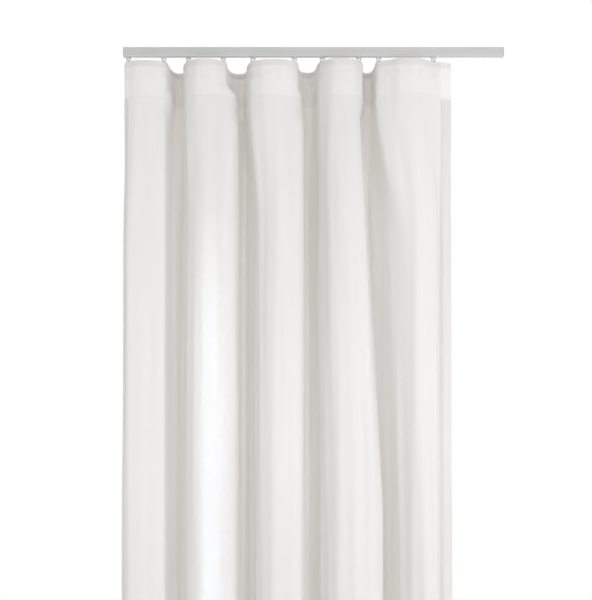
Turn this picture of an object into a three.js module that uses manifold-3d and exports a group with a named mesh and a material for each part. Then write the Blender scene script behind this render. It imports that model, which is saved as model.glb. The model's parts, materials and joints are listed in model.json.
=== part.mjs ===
// A fabric curtain panel that hangs from a ceiling rail on gliders and wire hooks.
// Millimetres. +Z is up, +X runs along the rail to the right and +Y points away from the room.
// The origin is the middle of the rail's top face, which lies against the ceiling.
import * as THREE from "three";
import { mergeVertices } from "three/addons/utils/BufferGeometryUtils.js";
import Module from "manifold-3d";

const wasm = await Module();
wasm.setup();

// Clearance between pieces that touch.
const GAP = 0.3;

// Rail: an extruded channel with a slot along its underside and a rib above the track on each side.
const RAIL_LENGTH = 856;
const RAIL_DEPTH = 14;
const RAIL_HEIGHT = 20;
const RAIL_WALL = 1.3;
const SLOT_WIDTH = 5;
const TRACK_HEIGHT = 7;
const RIB_REACH = 1.5;
const RIB_THICKNESS = 1.2;
const SCREW_PLACES = [-380, -127, 127, 380];
const SCREW_HOLE_RADIUS = 2.2;
const CAP_THICKNESS = 1.7;
const CAP_PLUG_LENGTH = 8;

// Gliders: a truck in the track, a neck through the slot and a tapered plate with an eye below it.
const TRUCK_LENGTH = 8;
const TRUCK_SHOULDER = 2.8;
const TRUCK_TOP_WIDTH = 6;
const NECK_LENGTH = 6;
const NECK_WIDTH = 4.2;
const PLATE_THICKNESS = 2.2;
const PLATE_TOP_WIDTH = 12.6;
const PLATE_FOOT_WIDTH = 9.4;
const PLATE_FOOT = -32.8;
const PLATE_CORNER = 2.5;
const EYE_RADIUS = 3;
const EYE_HEIGHT = -27.6;

// Hooks: round wire that hangs in the eye, runs down behind the heading and turns up into a pocket.
const WIRE_RADIUS = 0.8;
const WIRE_CHAMFER = 0.35;
const HOOK_APEX = -28.2;
const HOOK_BEND = 3.6;
const HOOK_TIP = -34.6;
const HOOK_FOOT = -70;
const PRONG_REACH = 2.9;
const PRONG_TOP = -52;

// Clamped stops that hold the first glider at the end and set how far the panel is spread.
const STOP_LENGTH = 8;
const STOP_HOLE_RADIUS = 1.6;
const STOP_SCREW_RADIUS = 1.3;
const STOP_HEAD_RADIUS = 2.2;
const STOP_HEAD_HEIGHT = 1.2;

// Panel: one finished width of cloth, with a taped heading and turned hems behind it.
const PANEL_WIDTH = 1400;
const PANEL_DROP = 2500;
const HEADING_TOP = -33;
const CLOTH_THICKNESS = 0.9;
const TAPE_INSET = 5;
const HEADING_DEPTH = 80;
const BOTTOM_HEM_DEPTH = 100;
const SIDE_HEM_STEPS = 3;
const CLOTH_STEPS = 140;

// Folds, seen from above. A pair of gliders holds the sides of each front fold, and the cloth
// stands off each glider's line by the same distance, turned by the stated number of degrees.
const GLIDERS = [
  { x: -419, turn: 30 },
  { x: -339, turn: 58 },
  { x: -283, turn: 60 },
  { x: -204, turn: 55 },
  { x: -137, turn: 60 },
  { x: -43, turn: 60 },
  { x: 20, turn: 58 },
  { x: 103, turn: 52 },
  { x: 148, turn: 62 },
  { x: 272, turn: 12 },
];
const CLOTH_STANDOFF = 6.2;
const HELD_HALF_LENGTH = 3;
const CREST_DEPTHS = [19, 30, 26, 33, 34];
// Each back fold's sides and depth at the heading.
const VALLEYS = [
  { left: -331, right: -300, depth: 85 },
  { left: -197, right: -154, depth: 89 },
  { left: -33, right: 7, depth: 79 },
  { left: 115, right: 141, depth: 82 },
];
// Where the right side of each of the first four front folds lies at the heading's foot. It opens
// out towards the room below the hooks.
const FOOT_FLANKS = [
  [[-366, -17], [-353, -13], [-339, -6], [-329, 8], [-325, 40]],
  [[-216, -25], [-203, -20], [-189, -12], [-179, 4], [-175, 42]],
  [[-72, -22], [-57, -17], [-42, -10], [-30, 4], [-25, 42]],
  [[86, -28], [96, -22], [106, -10], [113, 10], [117, 46]],
];
const FLANK_TOP = -76;
const FLANK_OPEN = -106;
// Each front fold's sides below the heading, and how far its right side has still to drift when it
// leaves the heading.
const LOWER_FOLDS = [
  { left: -421, right: -333, drift: 0 },
  { left: -256, right: -170, drift: 0 },
  { left: -94, right: -20, drift: 0 },
  { left: 64.5, right: 157, drift: 54 },
  { left: 218, right: 282, drift: 0 },
];
const LOWER_VALLEY_DEPTH = 75;
// Heights where the right sides and the folds have taken their lower shape, and where the drift is
// done.
const FLANK_SETTLED = -185;
const SETTLED_HEIGHT = -450;
const DRIFTED_HEIGHT = -1025;
// The hem hangs this far towards the room, which brings the panel's weight under the eyes.
const HEM_LEAN = 26.5;
// Outlines of a front fold and a back fold at the heading, as shares of their width and depth.
const CREST_OUTLINE = [[0.24, 0.9], [0.5, 1], [0.76, 0.9]];
const LAST_CREST_OUTLINE = [[0.2, 0.66], [0.34, 0.98], [0.68, 1]];
const VALLEY_OUTLINE = [
  [-0.02, 0.38], [0.04, 0.72], [0.25, 0.96], [0.5, 1], [0.75, 0.96], [0.96, 0.72], [1.02, 0.38],
];
// Below the heading a back fold starts with a steep wall, and a front fold runs from the back
// fold's bottom up a long slope to its crest and round its right side. These are shares of the way
// across and of the way forward.
const LOWER_WALL = [[-0.015, 0.28], [-0.02, 0.6], [0, 0.88]];
const LOWER_BOTTOM = 0.1;
const LOWER_SLOPE = [[0, 0], [0.07, 0.12], [0.145, 0.36], [0.225, 0.58], [0.31, 0.76], [0.41, 0.89]];
const LOWER_CREST_OUTLINE = [[0.54, 0.97], [0.69, 1], [0.84, 0.99]];
const LOWER_FALL = [[0.95, 0.89], [0.993, 0.7]];
// The first fold has no back fold before it, and the last one's slope ends in a soft corner.
const FIRST_RISE = [[-430, 0.2], [-422, 0.5]];
const LAST_SLOPE = [[0, 0], [0.1, 0.2], [0.2, 0.4], [0.3, 0.58], [0.4, 0.735], [0.5, 0.865]];
const LAST_LOWER_CREST = [[0.61, 0.955], [0.75, 1], [0.9, 0.985]];
// Points in one fold and the back fold after it, and the first and last of its right side.
const POINTS_PER_FOLD = 14;
const FLANK_FIRST = 4;
const FLANK_LAST = 10;
const LEFT_EDGE = [[-430, 14], [-429.5, 6]];
const RIGHT_EDGE = [[292, -3], [303, 2], [313.5, 6]];

// Heights and widths that follow from the sizes above.
const LIP_TOP = RAIL_WALL - RAIL_HEIGHT;
const RIB_FOOT = LIP_TOP + TRACK_HEIGHT;
const RUNNER_FOOT = LIP_TOP + GAP;
const RUNNER_TOP = RIB_FOOT - GAP;
const RUNNER_WIDTH = RAIL_DEPTH - 2 * (RAIL_WALL + GAP);
const TAPE_TOP = HEADING_TOP - TAPE_INSET;
const TAPE_FOOT = HEADING_TOP - HEADING_DEPTH;
const HEM_FOOT = HEADING_TOP - PANEL_DROP;
const HEM_TOP = HEM_FOOT + BOTTOM_HEM_DEPTH;
const BACK_LAYER_FRONT = -CLOTH_THICKNESS / 2 - GAP;
const BACK_LAYER_BACK = BACK_LAYER_FRONT - CLOTH_THICKNESS;
// Heights between the heading and the bottom hem where the cloth's line is drawn.
const FALL_HEIGHTS = [FLANK_SETTLED, -300, SETTLED_HEIGHT, DRIFTED_HEIGHT];

const aluminium = new THREE.MeshStandardMaterial({ color: 0xbcbcba, metalness: 0.9, roughness: 0.4 });
const nylon = new THREE.MeshStandardMaterial({ color: 0xdcdcd6, metalness: 0, roughness: 0.45 });
const steel = new THREE.MeshStandardMaterial({ color: 0x8f8f8e, metalness: 1, roughness: 0.35 });
const linen = new THREE.MeshStandardMaterial({ color: 0xe9e6df, metalness: 0, roughness: 0.95 });
const tapeWeave = new THREE.MeshStandardMaterial({ color: 0xf3f2ee, metalness: 0, roughness: 0.9 });

const radians = THREE.MathUtils.degToRad;
const X = new THREE.Vector3(1, 0, 0);
const Y = new THREE.Vector3(0, 1, 0);
const Z = new THREE.Vector3(0, 0, 1);
// Turns a section drawn as (Y, Z) to run along X, and one drawn as (X, Z) to face the room.
const ALONG_RAIL = new THREE.Matrix4().makeBasis(Y, Z, X);
const FACING_ROOM = new THREE.Matrix4().makeBasis(X, Z, Y.clone().negate());

// A closed geometry as a solid that can be joined or cut.
function solidOf(geometry) {
  const bare = geometry.clone();
  bare.deleteAttribute("normal");
  bare.deleteAttribute("uv");
  const merged = mergeVertices(bare, 1e-4);
  const vertProperties = merged.attributes.position.array;
  const triVerts = new Uint32Array(merged.index.array);
  return new wasm.Manifold(new wasm.Mesh({ numProp: 3, vertProperties, triVerts }));
}

// A joined or cut solid as a geometry.
function geometryOf(solid) {
  const { vertProperties, triVerts } = solid.getMesh();
  const geometry = new THREE.BufferGeometry();
  geometry.setAttribute("position", new THREE.BufferAttribute(vertProperties, 3));
  geometry.setIndex(new THREE.BufferAttribute(triVerts, 1));
  geometry.computeVertexNormals();
  return geometry;
}

function joined(...geometries) {
  return geometryOf(geometries.map(solidOf).reduce((whole, piece) => whole.add(piece)));
}

function named(name, geometry, material) {
  const mesh = new THREE.Mesh(geometry, material);
  mesh.name = name;
  return mesh;
}

function polygon(points) {
  return new THREE.Shape(points.map(([x, y]) => new THREE.Vector2(x, y)));
}

function prism(shape, depth) {
  return new THREE.ExtrudeGeometry(shape, { depth, bevelEnabled: false, curveSegments: 6 });
}

// A box from its lowest corner to its highest.
function block(low, high) {
  const size = high.map((value, axis) => value - low[axis]);
  const centre = high.map((value, axis) => (value + low[axis]) / 2);
  return new THREE.BoxGeometry(...size).translate(...centre);
}

// The rail's section: top web, side walls, lips beside the slot and the two guide ribs.
function railSection() {
  const side = RAIL_DEPTH / 2;
  const inner = side - RAIL_WALL;
  const rib = inner - RIB_REACH;
  const slot = SLOT_WIDTH / 2;
  const right = [
    [slot, -RAIL_HEIGHT],
    [side, -RAIL_HEIGHT],
    [side, 0],
  ];
  const rightInside = [
    [inner, -RAIL_WALL],
    [inner, RIB_FOOT + RIB_THICKNESS],
    [rib, RIB_FOOT + RIB_THICKNESS],
    [rib, RIB_FOOT],
    [inner, RIB_FOOT],
    [inner, LIP_TOP],
    [slot, LIP_TOP],
  ];
  const mirror = ([y, z]) => [-y, z];
  return polygon([
    ...right,
    ...right.map(mirror).reverse(),
    ...rightInside.map(mirror).reverse(),
    ...rightInside,
  ]);
}

function rail() {
  const channel = prism(railSection(), RAIL_LENGTH).translate(0, 0, -RAIL_LENGTH / 2);
  let solid = solidOf(channel.applyMatrix4(ALONG_RAIL));
  for (const x of SCREW_PLACES) {
    const drill = new THREE.CylinderGeometry(SCREW_HOLE_RADIUS, SCREW_HOLE_RADIUS, 3 * RAIL_WALL, 12);
    solid = solid.subtract(solidOf(drill.rotateX(Math.PI / 2).translate(x, 0, 0)));
  }
  return named("ceiling_rail", geometryOf(solid), aluminium);
}

// An end cap: a flange over the rail's end with a plug above the track. side is -1 or 1.
function endCap(name, side) {
  const railEnd = RAIL_LENGTH / 2;
  const flangeInside = railEnd + GAP;
  const halfPlug = RUNNER_WIDTH / 2;
  const flange = block(
    [flangeInside, -RAIL_DEPTH / 2, -RAIL_HEIGHT],
    [flangeInside + CAP_THICKNESS, RAIL_DEPTH / 2, 0],
  );
  const plug = block(
    [railEnd - CAP_PLUG_LENGTH, -halfPlug, RIB_FOOT + RIB_THICKNESS + GAP],
    [flangeInside + CAP_THICKNESS / 2, halfPlug, -RAIL_WALL - GAP],
  );
  const cap = named(name, joined(flange, plug), nylon);
  cap.rotation.z = side > 0 ? 0 : Math.PI;
  return cap;
}

// The eye plate: tapered, with round lower corners.
function eyePlate() {
  const top = PLATE_TOP_WIDTH / 2;
  const foot = PLATE_FOOT_WIDTH / 2;
  const cornerHeight = PLATE_FOOT + PLATE_CORNER;
  const plateTop = -RAIL_HEIGHT - GAP;
  const outline = new THREE.Shape();
  outline.moveTo(top, plateTop);
  outline.lineTo(-top, plateTop);
  outline.absarc(PLATE_CORNER - foot, cornerHeight, PLATE_CORNER, Math.PI, 1.5 * Math.PI, false);
  outline.absarc(foot - PLATE_CORNER, cornerHeight, PLATE_CORNER, 1.5 * Math.PI, 2 * Math.PI, false);
  const eye = new THREE.Path().absarc(0, EYE_HEIGHT, EYE_RADIUS, 0, 2 * Math.PI, true);
  outline.holes.push(eye);
  const plate = prism(outline, PLATE_THICKNESS).translate(0, 0, -PLATE_THICKNESS / 2);
  return plate.applyMatrix4(FACING_ROOM);
}

function gliderGeometry() {
  const foot = RUNNER_WIDTH / 2;
  const top = TRUCK_TOP_WIDTH / 2;
  const shoulder = RUNNER_FOOT + TRUCK_SHOULDER;
  const truckSection = polygon([
    [-foot, RUNNER_FOOT],
    [foot, RUNNER_FOOT],
    [foot, shoulder],
    [top, RUNNER_TOP],
    [-top, RUNNER_TOP],
    [-foot, shoulder],
  ]);
  const truck = prism(truckSection, TRUCK_LENGTH).translate(0, 0, -TRUCK_LENGTH / 2);
  const neck = block(
    [-NECK_LENGTH / 2, -NECK_WIDTH / 2, -RAIL_HEIGHT - 2 * GAP],
    [NECK_LENGTH / 2, NECK_WIDTH / 2, shoulder],
  );
  return joined(truck.applyMatrix4(ALONG_RAIL), neck, eyePlate());
}

// The wire's outline in its own flat plane: +x towards the room, +y up.
function hookOutline() {
  const r = WIRE_RADIUS;
  const bendHeight = HOOK_APEX - HOOK_BEND;
  const footBend = (HOOK_BEND + PRONG_REACH) / 2;
  const footCentre = PRONG_REACH - footBend;
  const outline = new THREE.Shape();
  outline.absarc(0, bendHeight, HOOK_BEND + r, 0, Math.PI, false);
  outline.absarc(footCentre, HOOK_FOOT, footBend + r, Math.PI, 2 * Math.PI, false);
  outline.absarc(PRONG_REACH, PRONG_TOP, r, 0, Math.PI, false);
  outline.absarc(footCentre, HOOK_FOOT, footBend - r, 0, Math.PI, true);
  outline.absarc(0, bendHeight, HOOK_BEND - r, Math.PI, 0, true);
  outline.absarc(HOOK_BEND, HOOK_TIP, r, Math.PI, 2 * Math.PI, false);
  return outline;
}

function hookGeometry() {
  const flat = 2 * (WIRE_RADIUS - WIRE_CHAMFER);
  const wire = new THREE.ExtrudeGeometry(hookOutline(), {
    depth: flat,
    bevelThickness: WIRE_CHAMFER,
    bevelSize: WIRE_CHAMFER,
    bevelOffset: -WIRE_CHAMFER,
    bevelSegments: 1,
    curveSegments: 3,
  });
  return wire.translate(0, 0, -flat / 2);
}

// Gliders alternate between the left and the right side of a front fold.
function foldSide(index) {
  return index % 2 === 0 ? -1 : 1;
}

// The level direction from a glider's line towards the cloth, for a turn in degrees.
function outward(index, turn) {
  const angle = radians(turn);
  return new THREE.Vector2(foldSide(index) * Math.sin(angle), -Math.cos(angle));
}

// Each hook hangs square to the rail, so that the folds can close on both sides of it.
function hook(name, x) {
  const mesh = named(name, hookGeometry(), steel);
  const towardsRoom = Y.clone().negate();
  const place = new THREE.Matrix4().makeBasis(towardsRoom, Z, towardsRoom.clone().cross(Z));
  mesh.applyMatrix4(place.setPosition(x, 0, 0));
  return mesh;
}

// A stop block in the track with its clamping screw, whose head sits in the slot.
function stop(name, x) {
  const half = STOP_LENGTH / 2;
  const side = RUNNER_WIDTH / 2;
  const section = polygon([[-half, -side], [half, -side], [half, side], [-half, side]]);
  section.holes.push(new THREE.Path().absarc(0, 0, STOP_HOLE_RADIUS, 0, 2 * Math.PI, true));
  const body = named(name, prism(section, RUNNER_TOP - RUNNER_FOOT), aluminium);
  body.position.set(x, 0, RUNNER_FOOT);
  const profile = [
    [0, 0],
    [STOP_HEAD_RADIUS, 0],
    [STOP_HEAD_RADIUS, STOP_HEAD_HEIGHT],
    [STOP_SCREW_RADIUS, STOP_HEAD_HEIGHT],
    [STOP_SCREW_RADIUS, RUNNER_TOP - LIP_TOP + STOP_HEAD_HEIGHT],
    [0, RUNNER_TOP - LIP_TOP + STOP_HEAD_HEIGHT],
  ].map(([radius, height]) => new THREE.Vector2(radius, height));
  const screw = named(name + "_screw", new THREE.LatheGeometry(profile, 12), steel);
  screw.rotation.x = Math.PI / 2;
  screw.position.set(x, 0, LIP_TOP - STOP_HEAD_HEIGHT);
  return [body, screw];
}

// The points that the middle of the cloth passes through at the heading, seen from above. opened
// runs from 0 at the hooks to 1 at the heading's foot, and deepen scales the back folds.
function headingPoints(opened, deepen) {
  const points = [...LEFT_EDGE];
  const holdAt = (index) => {
    const { x, turn } = GLIDERS[index];
    const off = outward(index, turn).multiplyScalar(CLOTH_STANDOFF);
    const along = new THREE.Vector2(-off.y, off.x).setLength(HELD_HALF_LENGTH);
    points.push([x + off.x - along.x, off.y - along.y], [x + off.x + along.x, off.y + along.y]);
  };
  const openFlank = (flank) => {
    flank.forEach(([x, y], place) => {
      const point = points[points.length - flank.length + place];
      point[0] += opened * (x - point[0]);
      point[1] += opened * (y - point[1]);
    });
  };
  CREST_DEPTHS.forEach((depth, fold) => {
    const last = fold === VALLEYS.length;
    const left = GLIDERS[2 * fold].x;
    const width = GLIDERS[2 * fold + 1].x - left;
    holdAt(2 * fold);
    const crest = last ? LAST_CREST_OUTLINE : CREST_OUTLINE;
    crest.forEach(([u, v]) => points.push([left + u * width, -v * depth]));
    holdAt(2 * fold + 1);
    if (last) return;
    const valley = VALLEYS[fold];
    const gap = valley.right - valley.left;
    VALLEY_OUTLINE.forEach(([u, v], place) => {
      if (place === 2) openFlank(FOOT_FLANKS[fold]);
      points.push([valley.left + u * gap, v * valley.depth * deepen]);
    });
  });
  return [...points, ...RIGHT_EDGE];
}

// The matching points below the heading. drifted runs from 0 to 1.
function lowerPoints(drifted, deepen) {
  const points = [...LEFT_EDGE];
  const deep = LOWER_VALLEY_DEPTH * deepen;
  let start = 2 * LOWER_FOLDS[0].left - LOWER_FOLDS[0].right;
  let back = CREST_DEPTHS[0] / 2;
  CREST_DEPTHS.forEach((depth, fold) => {
    const last = fold === VALLEYS.length;
    const right = LOWER_FOLDS[fold].right - LOWER_FOLDS[fold].drift * (1 - drifted);
    const add = (outline) => {
      outline.forEach(([u, v]) => points.push([start + u * (right - start), back - v * (back + depth)]));
    };
    if (fold === 0) FIRST_RISE.forEach(([x, v]) => points.push([x, -v * depth]));
    else add(last ? LAST_SLOPE : LOWER_SLOPE);
    add(last ? LAST_LOWER_CREST : LOWER_CREST_OUTLINE);
    add(LOWER_FALL);
    if (last) return;
    const gap = LOWER_FOLDS[fold + 1].left - right;
    LOWER_WALL.forEach(([u, v]) => points.push([right + u * gap, v * deep]));
    start = right + LOWER_BOTTOM * gap;
    back = deep;
  });
  return [...points, ...RIGHT_EDGE];
}

// Whether a point belongs to the right side of one of the first four folds.
function onFlank(index) {
  const place = index - LEFT_EDGE.length;
  const within = place % POINTS_PER_FOLD;
  return place < VALLEYS.length * POINTS_PER_FOLD && within >= FLANK_FIRST && within <= FLANK_LAST;
}

// The cloth's curve part way between the heading's folds and the lower ones. stage holds how far
// the right sides have opened, how far they and the folds have settled, and how far the drift is.
function foldCurve(stage, deepen) {
  const vector = ([x, y]) => new THREE.Vector3(x, y, 0);
  const lower = lowerPoints(stage.drifted, deepen).map(vector);
  const points = headingPoints(stage.opened, deepen).map((point, i) => {
    return vector(point).lerp(lower[i], onFlank(i) ? stage.flankSettled : stage.settled);
  });
  const curve = new THREE.CatmullRomCurve3(points, false, "centripetal");
  curve.arcLengthDivisions = 1200;
  return curve;
}

// The cloth's line at one height: equal steps along it, with the back folds as deep as the
// finished width of cloth makes them, and the direction out of the cloth's front at each step.
function clothLine(z) {
  const below = Math.max(TAPE_FOOT - z, 0);
  const drop = below / (TAPE_FOOT - HEM_FOOT);
  const { smoothstep } = THREE.MathUtils;
  const stage = {
    opened: smoothstep(-z, -FLANK_TOP, -FLANK_OPEN),
    flankSettled: smoothstep(below, 0, TAPE_FOOT - FLANK_SETTLED),
    settled: smoothstep(below, 0, TAPE_FOOT - SETTLED_HEIGHT),
    drifted: Math.min(below / (TAPE_FOOT - DRIFTED_HEIGHT), 1),
  };
  let shallow = 0.5;
  let deep = 1.5;
  for (let round = 0; round < 24; round++) {
    const middle = (shallow + deep) / 2;
    if (foldCurve(stage, middle).getLength() < PANEL_WIDTH) shallow = middle;
    else deep = middle;
  }
  const points = foldCurve(stage, shallow).getSpacedPoints(CLOTH_STEPS);
  return points.map((point, i) => {
    const before = points[Math.max(i - 1, 0)];
    const after = points[Math.min(i + 1, CLOTH_STEPS)];
    const along = after.clone().sub(before).normalize();
    return { x: point.x, y: point.y - HEM_LEAN * drop, frontX: along.y, frontY: -along.x };
  });
}

function levelAt(z) {
  return { z, line: clothLine(z) };
}

const tapeTopLevel = levelAt(TAPE_TOP);
const flankTopLevel = levelAt(FLANK_TOP);
const tapeFootLevel = levelAt(TAPE_FOOT);
const fallLevels = FALL_HEIGHTS.map(levelAt);
const hemTopLevel = levelAt(HEM_TOP);
const hemFootLevel = levelAt(HEM_FOOT);

// A closed layer of cloth through the given levels, from one step of its line to another, and
// between two distances in front of the line.
function layer(levels, firstStep, lastStep, back, front) {
  const positions = [];
  for (const { z, line } of levels) {
    for (let i = firstStep; i <= lastStep; i++) {
      for (const off of [front, back]) {
        positions.push(line[i].x + off * line[i].frontX, line[i].y + off * line[i].frontY, z);
      }
    }
  }
  const columns = lastStep - firstStep;
  const rows = levels.length - 1;
  const at = (row, column, side) => 2 * (row * (columns + 1) + column) + side;
  const index = [];
  const quad = (a, b, c, d) => index.push(a, b, c, a, c, d);
  for (let row = 0; row < rows; row++) {
    // Both faces are split along the same diagonal, so that the layer keeps its thickness.
    for (let i = 0; i < columns; i++) {
      quad(at(row + 1, i, 0), at(row + 1, i + 1, 0), at(row, i + 1, 0), at(row, i, 0));
      quad(at(row, i + 1, 1), at(row + 1, i + 1, 1), at(row + 1, i, 1), at(row, i, 1));
    }
    quad(at(row + 1, 0, 0), at(row, 0, 0), at(row, 0, 1), at(row + 1, 0, 1));
    quad(at(row, columns, 0), at(row + 1, columns, 0), at(row + 1, columns, 1), at(row, columns, 1));
  }
  for (let i = 0; i < columns; i++) {
    quad(at(0, i, 0), at(0, i + 1, 0), at(0, i + 1, 1), at(0, i, 1));
    quad(at(rows, i + 1, 0), at(rows, i, 0), at(rows, i, 1), at(rows, i + 1, 1));
  }
  const geometry = new THREE.BufferGeometry();
  geometry.setAttribute("position", new THREE.Float32BufferAttribute(positions, 3));
  geometry.setIndex(index);
  geometry.computeVertexNormals();
  return geometry;
}

function curtainCloth() {
  const headingTopLevel = { z: HEADING_TOP, line: tapeTopLevel.line };
  const heading = [headingTopLevel, tapeTopLevel, flankTopLevel, tapeFootLevel];
  const levels = [...heading, ...fallLevels, hemTopLevel, hemFootLevel];
  const half = CLOTH_THICKNESS / 2;
  return named("curtain_cloth", layer(levels, 0, CLOTH_STEPS, -half, half), linen);
}

// The straight piece of the heading line nearest a point: its front direction and its distance.
function nearestPiece(x, y) {
  const point = new THREE.Vector3(x, y, 0);
  const nearest = { distance: Infinity };
  const line = tapeTopLevel.line.map(({ x, y }) => new THREE.Vector3(x, y, 0));
  for (let i = 0; i < CLOTH_STEPS; i++) {
    const start = line[i];
    const end = line[i + 1].clone();
    const foot = new THREE.Line3(start, end).closestPointToPoint(point, true, new THREE.Vector3());
    const distance = foot.distanceTo(point);
    if (distance < nearest.distance) {
      nearest.distance = distance;
      nearest.along = end.sub(start).normalize();
    }
  }
  return nearest;
}

// A woven pocket on the back of the tape, with the hook's prong standing in it.
function tapePocket(x) {
  const wall = 0.8;
  const halfWidth = 2.2;
  const height = 10;
  const y = -PRONG_REACH;
  const { along, distance } = nearestPiece(x, y);
  const back = -(WIRE_RADIUS + GAP + wall);
  const front = distance + (BACK_LAYER_FRONT + BACK_LAYER_BACK) / 2;
  const section = polygon([[back, -halfWidth], [front, -halfWidth], [front, halfWidth], [back, halfWidth]]);
  section.holes.push(new THREE.Path().absarc(0, 0, WIRE_RADIUS + GAP, 0, 2 * Math.PI, true));
  const front3 = along.clone().cross(Z);
  const place = new THREE.Matrix4().makeBasis(front3, along, Z).setPosition(x, y, HOOK_FOOT + 3);
  return prism(section, height).applyMatrix4(place);
}

function headingTape() {
  const levels = [tapeTopLevel, flankTopLevel, tapeFootLevel];
  const band = layer(levels, 0, CLOTH_STEPS, BACK_LAYER_BACK, BACK_LAYER_FRONT);
  const pockets = GLIDERS.map(({ x }) => tapePocket(x));
  return named("heading_tape", joined(band, ...pockets), tapeWeave);
}

function sideHem(name, firstStep) {
  const top = { z: TAPE_FOOT - GAP, line: tapeFootLevel.line };
  const foot = { z: HEM_TOP + GAP, line: hemTopLevel.line };
  const levels = [top, ...fallLevels, foot];
  const lastStep = firstStep + SIDE_HEM_STEPS;
  return named(name, layer(levels, firstStep, lastStep, BACK_LAYER_BACK, BACK_LAYER_FRONT), linen);
}

function bottomHem() {
  const levels = [hemTopLevel, hemFootLevel];
  return named("bottom_hem", layer(levels, 0, CLOTH_STEPS, BACK_LAYER_BACK, BACK_LAYER_FRONT), linen);
}

const group = new THREE.Group();
group.add(rail(), endCap("end_cap_left", -1), endCap("end_cap_right", 1));

const stopOffset = TRUCK_LENGTH / 2 + GAP + STOP_LENGTH / 2;
group.add(...stop("park_stop", GLIDERS.at(0).x + stopOffset));
group.add(...stop("end_stop", GLIDERS.at(-1).x + stopOffset));

GLIDERS.forEach(({ x }, index) => {
  const number = String(index + 1).padStart(2, "0");
  const glider = named("glider_" + number, gliderGeometry(), nylon);
  glider.position.x = x;
  group.add(glider, hook("hook_" + number, x));
});

group.add(curtainCloth(), headingTape(), bottomHem());
group.add(sideHem("side_hem_left", 0), sideHem("side_hem_right", CLOTH_STEPS - SIDE_HEM_STEPS));

export default group;
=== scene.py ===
# A linen-look curtain panel on gliders and wire hooks in a ceiling rail.
# Sizes are in millimetres, in the CAD frame: +X along the rail, +Y away from the room, +Z up.
import json
import math

import bmesh
import bpy
import numpy as np
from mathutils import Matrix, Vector


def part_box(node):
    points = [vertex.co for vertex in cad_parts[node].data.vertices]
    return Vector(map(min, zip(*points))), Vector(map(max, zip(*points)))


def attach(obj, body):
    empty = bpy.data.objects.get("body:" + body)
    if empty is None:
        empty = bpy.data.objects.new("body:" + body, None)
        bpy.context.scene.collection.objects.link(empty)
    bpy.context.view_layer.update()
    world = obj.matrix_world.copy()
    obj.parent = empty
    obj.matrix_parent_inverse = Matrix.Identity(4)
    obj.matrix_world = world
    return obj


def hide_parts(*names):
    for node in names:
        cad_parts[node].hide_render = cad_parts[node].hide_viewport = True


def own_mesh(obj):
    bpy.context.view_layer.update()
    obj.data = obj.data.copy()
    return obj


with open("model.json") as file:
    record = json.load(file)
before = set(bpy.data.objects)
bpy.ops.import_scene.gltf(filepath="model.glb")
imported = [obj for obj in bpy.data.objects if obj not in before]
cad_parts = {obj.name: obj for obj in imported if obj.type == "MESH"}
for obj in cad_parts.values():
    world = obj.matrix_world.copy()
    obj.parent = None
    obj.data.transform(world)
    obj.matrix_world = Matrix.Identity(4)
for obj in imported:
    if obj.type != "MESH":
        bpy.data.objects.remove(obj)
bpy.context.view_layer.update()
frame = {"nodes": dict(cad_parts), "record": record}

MM = 0.001

# Camera, level with the upper part of the panel.
CAMERA_PLACE = (-39.5, -1700, -571)
CAMERA_LENS = 45
CAMERA_SENSOR = 36

# Panel: the cloth's flat size and the heights of its heading and hems.
PANEL_WIDTH = 1400
HEADING_TOP = -33
TAPE_TOP = -38
TAPE_FOOT = -113
HEM_TOP = -2433
HEM_FOOT = -2533
SIDE_HEM_WIDTH = 28
TURN_IN = 14

# Fine grid of the cloth: columns along its width, and the row spacing at a height. Below the
# heading the rows grow apart by this much a row.
CLOTH_COLUMNS = 400
HEADING_ROW_STEP = 4
HEADING_MARGIN = 12
ROW_GROWTH = 1.15
FALL_ROW_STEP = 20
HEM_ROW_STEP = 10

# Folds seen from above, as in the CAD model: the cloth stands off each glider's line, turned by
# these degrees, with front folds this deep and back folds with these sides and depths.
GLIDER_TURNS = [30, 58, 60, 55, 60, 60, 58, 52, 62, 12]
CLOTH_STANDOFF = 6.2
HELD_HALF_LENGTH = 3
CREST_DEPTHS = [19, 30, 26, 33, 34]
VALLEYS = [(-331, -300, 85), (-197, -154, 89), (-33, 7, 79), (115, 141, 82)]
LOWER_FOLDS = [(-421, -333, 0), (-256, -170, 0), (-94, -20, 0), (64.5, 157, 54), (218, 282, 0)]
LOWER_VALLEY_DEPTH = 75
SETTLED_HEIGHT = -450
DRIFTED_HEIGHT = -1025
HEM_LEAN = 26.5
CREST_OUTLINE = [(0.24, 0.9), (0.5, 1), (0.76, 0.9)]
LAST_CREST_OUTLINE = [(0.2, 0.66), (0.34, 0.98), (0.68, 1)]
VALLEY_OUTLINE = [
    (-0.02, 0.38), (0.04, 0.72), (0.25, 0.96), (0.5, 1), (0.75, 0.96), (0.96, 0.72), (1.02, 0.38),
]
# Below the heading a fold runs from one back fold to its own right side: its steep wall, then its
# long left slope and round front, as shares of the way across and of the way forward.
LOWER_WALL = [(-0.015, 0.28), (-0.02, 0.6), (0.0, 0.88)]
LOWER_BOTTOM = 0.1
LOWER_SLOPE = [(0, 0), (0.07, 0.12), (0.145, 0.36), (0.225, 0.58), (0.31, 0.76), (0.41, 0.89)]
LOWER_CREST_OUTLINE = [(0.54, 0.97), (0.69, 1), (0.84, 0.99)]
LOWER_FALL = [(0.95, 0.89), (0.993, 0.7)]
FIRST_RISE = [(-430, 0.2), (-422, 0.5)]
# The last fold's left side is one plain slope up to a soft corner.
LAST_SLOPE = [(0, 0), (0.1, 0.2), (0.2, 0.4), (0.3, 0.58), (0.4, 0.735), (0.5, 0.865)]
LAST_LOWER_CREST = [(0.61, 0.955), (0.75, 1), (0.9, 0.985)]
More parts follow.
